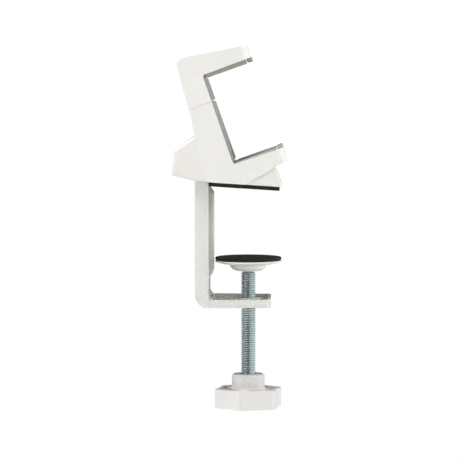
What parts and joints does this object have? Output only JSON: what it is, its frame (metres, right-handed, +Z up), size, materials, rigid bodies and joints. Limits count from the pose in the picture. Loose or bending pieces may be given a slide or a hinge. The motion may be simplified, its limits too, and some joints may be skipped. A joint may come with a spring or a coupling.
{
  "type": "clamp-on table stand",
  "caption": "Table clamp with a screw and swivel pad, carrying a tilted C-shaped cradle whose padded upper jaw slides open on springs.",
  "frame": {"origin": "on the underside of the table pads, on the clamp screw's axis", "axes": "+Z up along the clamp screw's axis, +X the way the table throat and the cradle open, Y across the width"},
  "size_m": [0.0624, 0.054, 0.1988],
  "materials": {
    "white_moulding": "satin white moulding",
    "bracket_paint": "white powder coat, satin",
    "lining": "soft grey lining, matt",
    "black_rubber": "matt black rubber",
    "zinc": "bright blue zinc plate",
    "spring_steel": "plain drawn steel",
    "slider_plastic": "natural acetal"
  },
  "bodies": {
    "stand": {"holder_body": "white_moulding", "clamp_bracket": "bracket_paint", "bracket_screw_1": "zinc", "bracket_screw_2": "zinc", "bracket_screw_3": "zinc", "bracket_screw_4": "zinc", "table_pad_rear": "black_rubber", "table_pad_front": "black_rubber", "lower_back_pad": "lining", "lower_jaw_pad": "lining", "lower_lip_pad": "lining", "spring_pin_lower": "spring_steel", "tension_spring_left": "spring_steel", "tension_spring_right": "spring_steel"},
    "sliding_jaw": {"upper_jaw": "white_moulding", "jaw_slider": "slider_plastic", "slider_screw_1": "zinc", "slider_screw_2": "zinc", "spring_pin_upper": "spring_steel", "upper_back_pad": "lining", "upper_jaw_pad": "lining", "upper_lip_pad": "lining"},
    "carriage": {"swivel_ball": "zinc"},
    "screw": {"clamp_screw": "zinc", "knob": "white_moulding", "knob_cap": "white_moulding"},
    "pad": {"pressure_plate": "white_moulding", "pressure_disc": "black_rubber"}
  },
  "joints": [
    {"name": "jaw_slide", "type": "slide", "parent": "stand", "child": "sliding_jaw", "axis": [-0.3338, 0, 0.9426], "range_m": [0, 0.022], "stiffness_N_per_m": 300, "springref_m": -0.02, "deforming": ["tension_spring_left", "tension_spring_right"]},
    {"name": "screw_lift", "type": "slide", "parent": "stand", "child": "carriage", "axis": [0, 0, 1], "range_m": [-0.013, 0.035]},
    {"name": "screw_turn", "type": "hinge", "parent": "carriage", "child": "screw", "pos_m": [0, 0, -0.044], "axis": [0, 0, 1], "range_deg": [-3745, 10081]},
    {"name": "pad_tilt", "type": "hinge", "parent": "carriage", "child": "pad", "pos_m": [0, 0, -0.044], "axis": [0, 1, 0], "range_deg": [-5, 5]}
  ],
  "couplings": [
    {"joint": "screw_turn", "follows": "screw_lift", "rad_per_m": 5026.5}
  ]
}
